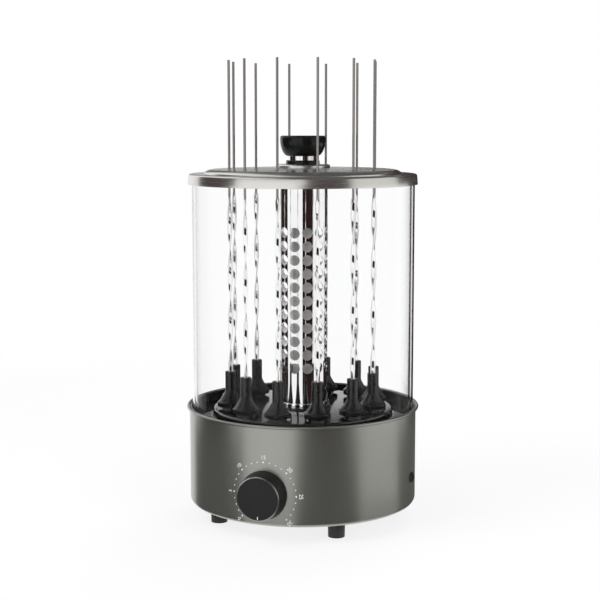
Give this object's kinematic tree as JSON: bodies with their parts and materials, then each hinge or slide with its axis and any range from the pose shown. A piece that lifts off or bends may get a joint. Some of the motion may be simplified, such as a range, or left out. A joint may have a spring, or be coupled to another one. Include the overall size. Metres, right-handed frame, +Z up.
{
  "type": "electric skewer grill",
  "caption": "Upright electric grill: round drive base with timer, turning skewers round a perforated heater guard, glass cylinder and lid.",
  "frame": {"origin": "centre of the footprint on the table; the machine's own axis stands 6.75 mm behind it, at y = +6.75 mm", "axes": "+Z up, the timer knob faces -Y, the cord gland faces +X"},
  "size_m": [0.235, 0.2485, 0.4589],
  "materials": {
    "painted_steel": "satin warm grey metallic paint",
    "zinc_plate": "zinc plated sheet",
    "foot_rubber": "matt black rubber",
    "screw_steel": "zinc plated steel",
    "black_enamel": "gloss black enamel",
    "deck_moulding": "tan heat-proof moulding",
    "chrome_sheet": "polished chrome",
    "heater_quartz": "frosted grey quartz",
    "white_ceramic": "unglazed ceramic",
    "motor_can": "pressed steel can",
    "gear_moulding": "natural nylon",
    "timer_case": "zinc plated case",
    "timer_brass": "turned brass",
    "knob_black": "matt black with a bright bevel",
    "terminal_white": "white moulding",
    "gland_black": "black moulding",
    "clear_glass": "clear polished glass",
    "lid_steel": "brushed, champagne grey",
    "chrome_disc": "polished chrome",
    "handle_black": "polished black",
    "shield_black": "polished black",
    "skewer_steel": "polished stainless steel"
  },
  "bodies": {
    "base": {"base_shell": "painted_steel", "base_plate": "zinc_plate", "feet": "foot_rubber", "foot_screws": "screw_steel", "drip_tray": "black_enamel", "gear_deck": "deck_moulding", "guard_tube": "chrome_sheet", "guard_collar": "chrome_sheet", "heater_tube": "heater_quartz", "heater_base": "white_ceramic", "motor_body": "motor_can", "timer_body": "timer_case", "terminal_block": "terminal_white", "cord_gland": "gland_black"},
    "sun": {"sun_gear": "gear_moulding"},
    "pinion": {"motor_pinion": "gear_moulding"},
    "glass": {"glass_cylinder": "clear_glass"},
    "lid": {"lid_plate": "lid_steel", "lid_escutcheon": "chrome_disc", "handle_knob": "handle_black", "handle_band": "chrome_disc", "handle_screw": "screw_steel"},
    "timer": {"timer_knob": "knob_black", "timer_shaft": "timer_brass"},
    "station_1": {"spindle_gear_1": "gear_moulding", "shield_1": "shield_black"},
    "station_2": {"spindle_gear_2": "gear_moulding", "shield_2": "shield_black"},
    "station_3": {"spindle_gear_3": "gear_moulding", "shield_3": "shield_black"},
    "station_4": {"spindle_gear_4": "gear_moulding", "shield_4": "shield_black"},
    "station_5": {"spindle_gear_5": "gear_moulding", "shield_5": "shield_black"},
    "station_6": {"spindle_gear_6": "gear_moulding", "shield_6": "shield_black"},
    "station_7": {"spindle_gear_7": "gear_moulding", "shield_7": "shield_black"},
    "station_8": {"spindle_gear_8": "gear_moulding", "shield_8": "shield_black"},
    "station_9": {"spindle_gear_9": "gear_moulding", "shield_9": "shield_black"},
    "station_10": {"spindle_gear_10": "gear_moulding", "shield_10": "shield_black"},
    "station_11": {"spindle_gear_11": "gear_moulding", "shield_11": "shield_black"},
    "station_12": {"spindle_gear_12": "gear_moulding", "shield_12": "shield_black"},
    "skewer_1": {"skewer_1": "skewer_steel"},
    "skewer_2": {"skewer_2": "skewer_steel"},
    "skewer_3": {"skewer_3": "skewer_steel"},
    "skewer_4": {"skewer_4": "skewer_steel"},
    "skewer_5": {"skewer_5": "skewer_steel"},
    "skewer_6": {"skewer_6": "skewer_steel"},
    "skewer_7": {"skewer_7": "skewer_steel"},
    "skewer_8": {"skewer_8": "skewer_steel"},
    "skewer_9": {"skewer_9": "skewer_steel"},
    "skewer_10": {"skewer_10": "skewer_steel"},
    "skewer_11": {"skewer_11": "skewer_steel"},
    "skewer_12": {"skewer_12": "skewer_steel"}
  },
  "joints": [
    {"name": "sun_spin", "type": "hinge", "parent": "base", "child": "sun", "pos_m": [0, 0.00675, 0.091], "axis": [0, 0, 1], "continuous": true},
    {"name": "pinion_spin", "type": "hinge", "parent": "base", "child": "pinion", "pos_m": [0, 0.04425, 0.091], "axis": [0, 0, 1], "continuous": true},
    {"name": "glass_lift", "type": "slide", "parent": "base", "child": "glass", "axis": [0, 0, 1], "range_m": [0, 0.36]},
    {"name": "lid_lift", "type": "slide", "parent": "glass", "child": "lid", "axis": [0, 0, 1], "range_m": [0, 0.13]},
    {"name": "timer_turn", "type": "hinge", "parent": "base", "child": "timer", "pos_m": [0, -0.11325, 0.0474], "axis": [0, 1, 0], "range_deg": [0, 315]},
    {"name": "station_1_spin", "type": "hinge", "parent": "base", "child": "station_1", "pos_m": [0.06409, 0.04375, 0.1], "axis": [0, 0, 1], "continuous": true},
    {"name": "station_2_spin", "type": "hinge", "parent": "base", "child": "station_2", "pos_m": [0.037, 0.07084, 0.1], "axis": [0, 0, 1], "continuous": true},
    {"name": "station_3_spin", "type": "hinge", "parent": "base", "child": "station_3", "pos_m": [0, 0.08075, 0.1], "axis": [0, 0, 1], "continuous": true},
    {"name": "station_4_spin", "type": "hinge", "parent": "base", "child": "station_4", "pos_m": [-0.037, 0.07084, 0.1], "axis": [0, 0, 1], "continuous": true},
    {"name": "station_5_spin", "type": "hinge", "parent": "base", "child": "station_5", "pos_m": [-0.06409, 0.04375, 0.1], "axis": [0, 0, 1], "continuous": true},
    {"name": "station_6_spin", "type": "hinge", "parent": "base", "child": "station_6", "pos_m": [-0.074, 0.00675, 0.1], "axis": [0, 0, 1], "continuous": true},
    {"name": "station_7_spin", "type": "hinge", "parent": "base", "child": "station_7", "pos_m": [-0.06409, -0.03025, 0.1], "axis": [0, 0, 1], "continuous": true},
    {"name": "station_8_spin", "type": "hinge", "parent": "base", "child": "station_8", "pos_m": [-0.037, -0.05734, 0.1], "axis": [0, 0, 1], "continuous": true},
    {"name": "station_9_spin", "type": "hinge", "parent": "base", "child": "station_9", "pos_m": [0, -0.06725, 0.1], "axis": [0, 0, 1], "continuous": true},
    {"name": "station_10_spin", "type": "hinge", "parent": "base", "child": "station_10", "pos_m": [0.037, -0.05734, 0.1], "axis": [0, 0, 1], "continuous": true},
    {"name": "station_11_spin", "type": "hinge", "parent": "base", "child": "station_11", "pos_m": [0.06409, -0.03025, 0.1], "axis": [0, 0, 1], "continuous": true},
    {"name": "station_12_spin", "type": "hinge", "parent": "base", "child": "station_12", "pos_m": [0.074, 0.00675, 0.1], "axis": [0, 0, 1], "continuous": true},
    {"name": "skewer_1_lift", "type": "slide", "parent": "station_1", "child": "skewer_1", "axis": [0, 0, 1], "range_m": [0, 0.24]},
    {"name": "skewer_2_lift", "type": "slide", "parent": "station_2", "child": "skewer_2", "axis": [0, 0, 1], "range_m": [0, 0.24]},
    {"name": "skewer_3_lift", "type": "slide", "parent": "station_3", "child": "skewer_3", "axis": [0, 0, 1], "range_m": [0, 0.24]},
    {"name": "skewer_4_lift", "type": "slide", "parent": "station_4", "child": "skewer_4", "axis": [0, 0, 1], "range_m": [0, 0.24]},
    {"name": "skewer_5_lift", "type": "slide", "parent": "station_5", "child": "skewer_5", "axis": [0, 0, 1], "range_m": [0, 0.24]},
    {"name": "skewer_6_lift", "type": "slide", "parent": "station_6", "child": "skewer_6", "axis": [0, 0, 1], "range_m": [0, 0.24]},
    {"name": "skewer_7_lift", "type": "slide", "parent": "station_7", "child": "skewer_7", "axis": [0, 0, 1], "range_m": [0, 0.24]},
    {"name": "skewer_8_lift", "type": "slide", "parent": "station_8", "child": "skewer_8", "axis": [0, 0, 1], "range_m": [0, 0.24]},
    {"name": "skewer_9_lift", "type": "slide", "parent": "station_9", "child": "skewer_9", "axis": [0, 0, 1], "range_m": [0, 0.24]},
    {"name": "skewer_10_lift", "type": "slide", "parent": "station_10", "child": "skewer_10", "axis": [0, 0, 1], "range_m": [0, 0.24]},
    {"name": "skewer_11_lift", "type": "slide", "parent": "station_11", "child": "skewer_11", "axis": [0, 0, 1], "range_m": [0, 0.24]},
    {"name": "skewer_12_lift", "type": "slide", "parent": "station_12", "child": "skewer_12", "axis": [0, 0, 1], "range_m": [0, 0.24]}
  ],
  "couplings": [
    {"joint": "pinion_spin", "follows": "sun_spin", "ratio": -3.2857},
    {"joint": "station_1_spin", "follows": "sun_spin", "ratio": -4.2857},
    {"joint": "station_2_spin", "follows": "sun_spin", "ratio": -4.2857},
    {"joint": "station_3_spin", "follows": "sun_spin", "ratio": -4.2857},
    {"joint": "station_4_spin", "follows": "sun_spin", "ratio": -4.2857},
    {"joint": "station_5_spin", "follows": "sun_spin", "ratio": -4.2857},
    {"joint": "station_6_spin", "follows": "sun_spin", "ratio": -4.2857},
    {"joint": "station_7_spin", "follows": "sun_spin", "ratio": -4.2857},
    {"joint": "station_8_spin", "follows": "sun_spin", "ratio": -4.2857},
    {"joint": "station_9_spin", "follows": "sun_spin", "ratio": -4.2857},
    {"joint": "station_10_spin", "follows": "sun_spin", "ratio": -4.2857},
    {"joint": "station_11_spin", "follows": "sun_spin", "ratio": -4.2857},
    {"joint": "station_12_spin", "follows": "sun_spin", "ratio": -4.2857}
  ]
}
